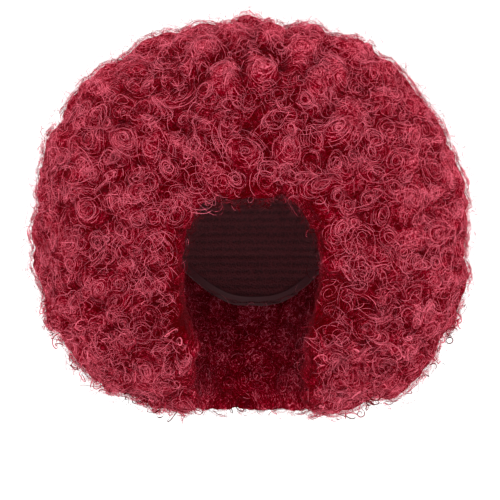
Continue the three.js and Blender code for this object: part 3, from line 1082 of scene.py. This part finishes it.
for index, hair_node in enumerate(HAIR_NODES):
    for kind, groups in (("curls", curl_groups), ("frizz", frizz_groups)):
        piece = mesh_from_grids(f"{hair_node}_{kind}", [g.chosen(g.owners == index) for g in groups])
        piece.data.materials.append(CURLY_HAIR)
        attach(piece, "root")

cap_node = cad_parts["cap"]
cap_node.data.materials.clear()
cap_node.data.materials.append(CAP_KNIT)


# The elastic hem round the inside of the cap's edge. The edge is looked for level by level, and its radius is
# taken this many levels up, the lowest being the first.
HEM_STEPS = 240
HEM_LEVELS = np.arange(-40 * MM, -175 * MM, -1 * MM)
HEM_RADIUS_LEVEL = 4
HEM_ABOVE = 6 * MM
HEM_BELOW = 2.5 * MM
HEM_INWARD = 0.6 * MM
HEM_OUTWARD = 1.0 * MM
HEM_ROUNDING = 0.8 * MM
HEM_SMOOTHED = 5


def cap_edge():
    """The middle of the cap, and by steps round it the edge's level and its radius inside."""
    cap = Solids(["cap"])
    lowest, radius = np.empty(HEM_STEPS), np.empty(HEM_STEPS)
    middle = (cap.points[:, 1].min() + cap.points[:, 1].max()) / 2
    for step in range(HEM_STEPS):
        turn = step / HEM_STEPS * 2 * math.pi
        way = (math.sin(turn), -math.cos(turn), 0)
        found = [(level, cap.hit((0, middle, level), way, FAR_OUT)) for level in HEM_LEVELS]
        found = [(level, hit[0]) for level, hit in found if hit]
        lowest[step] = found[-1][0]
        radius[step] = found[max(0, len(found) - HEM_RADIUS_LEVEL)][1]
    return middle, lowest, radius


def evened(values):
    """Values round a closed line, each blended with its neighbours."""
    waves = np.fft.fftfreq(HEM_STEPS) * HEM_STEPS
    spread = HEM_SMOOTHED / HEM_STEPS * 2 * math.pi
    return np.fft.ifft(np.fft.fft(values) * np.exp(-0.5 * (waves * spread) ** 2)).real


def hem():
    """A band whose closed profile is given by how far outward and upward each corner lies."""
    middle, lowest, radius = cap_edge()
    lowest, radius = evened(lowest), evened(radius)
    profile = [
        (HEM_OUTWARD, -HEM_BELOW),
        (0, -HEM_BELOW - HEM_ROUNDING),
        (-HEM_INWARD, -HEM_BELOW),
        (-HEM_INWARD, HEM_ABOVE),
        (0, HEM_ABOVE + HEM_ROUNDING),
        (HEM_OUTWARD, HEM_ABOVE),
    ]
    points, faces = [], []
    for step in range(HEM_STEPS):
        turn = step / HEM_STEPS * 2 * math.pi
        for outward, upward in profile:
            reach = radius[step] + outward
            points.append((reach * math.sin(turn), middle - reach * math.cos(turn), lowest[step] + upward))
    count = len(profile)
    for step in range(HEM_STEPS):
        here, there = step * count, (step + 1) % HEM_STEPS * count
        for corner in range(count):
            beside = (corner + 1) % count
            faces.append([here + corner, here + beside, there + beside, there + corner])
    mesh = bpy.data.meshes.new("cap_hem")
    mesh.from_pydata(points, [], faces)
    mesh.materials.append(CAP_HEM)
    piece = placed_in_scene("cap_hem", mesh)
    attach(piece, "root")


hem()


# Camera, floor and light
CAMERA_SENSOR = 36
CAMERA_LENS = 156
CAMERA_PLACE = (0, -2.0, -0.115)
FLOOR_HALF = 6.0
FLOOR_LEVEL = -0.5
FLOOR_COLOUR = (0.87, 0.87, 0.87)
WORLD_STRENGTH = 1.24
LIGHT_AIM = (0, 0, -0.08)
LIGHTS = [
    # name, place, width in metres, power in watts
    ("key", (0.3, -1.9, 1.6), 1.0, 31),
    ("left_side", (-2.0, 0.8, 0.6), 1.4, 36),
    ("right_side", (2.0, 0.8, 0.5), 1.4, 38),
    ("back", (0.1, 1.0, 2.2), 1.4, 42),
]


def camera():
    data = bpy.data.cameras.new("camera")
    data.sensor_width = CAMERA_SENSOR
    data.lens = CAMERA_LENS
    item = placed_in_scene("camera", data)
    item.location = CAMERA_PLACE
    item.rotation_euler = (math.radians(90), 0, 0)
    bpy.context.scene.camera = item


def area_light(name, place, size, power):
    data = bpy.data.lights.new(name, "AREA")
    data.shape = "DISK"
    data.size = size
    data.energy = power
    item = placed_in_scene(name, data)
    item.location = place
    aim = Vector(LIGHT_AIM) - Vector(place)
    item.rotation_euler = aim.to_track_quat("-Z", "Y").to_euler()


def floor():
    mesh = bpy.data.meshes.new("floor")
    corners = [(x * FLOOR_HALF, y * FLOOR_HALF, FLOOR_LEVEL) for x, y in ((-1, -1), (1, -1), (1, 1), (-1, 1))]
    mesh.from_pydata(corners, [], [(0, 1, 2, 3)])
    mesh.materials.append(plain_material("floor", FLOOR_COLOUR, 0.9))
    item = placed_in_scene("floor", mesh)


camera()
floor()
for light in LIGHTS:
    area_light(*light)

world = bpy.data.worlds.new("studio")
world.use_nodes = True
background = world.node_tree.nodes["Background"]
background.inputs["Color"].default_value = (1, 1, 1, 1)
background.inputs["Strength"].default_value = WORLD_STRENGTH
bpy.context.scene.world = world
bpy.context.scene.view_settings.view_transform = "Standard"
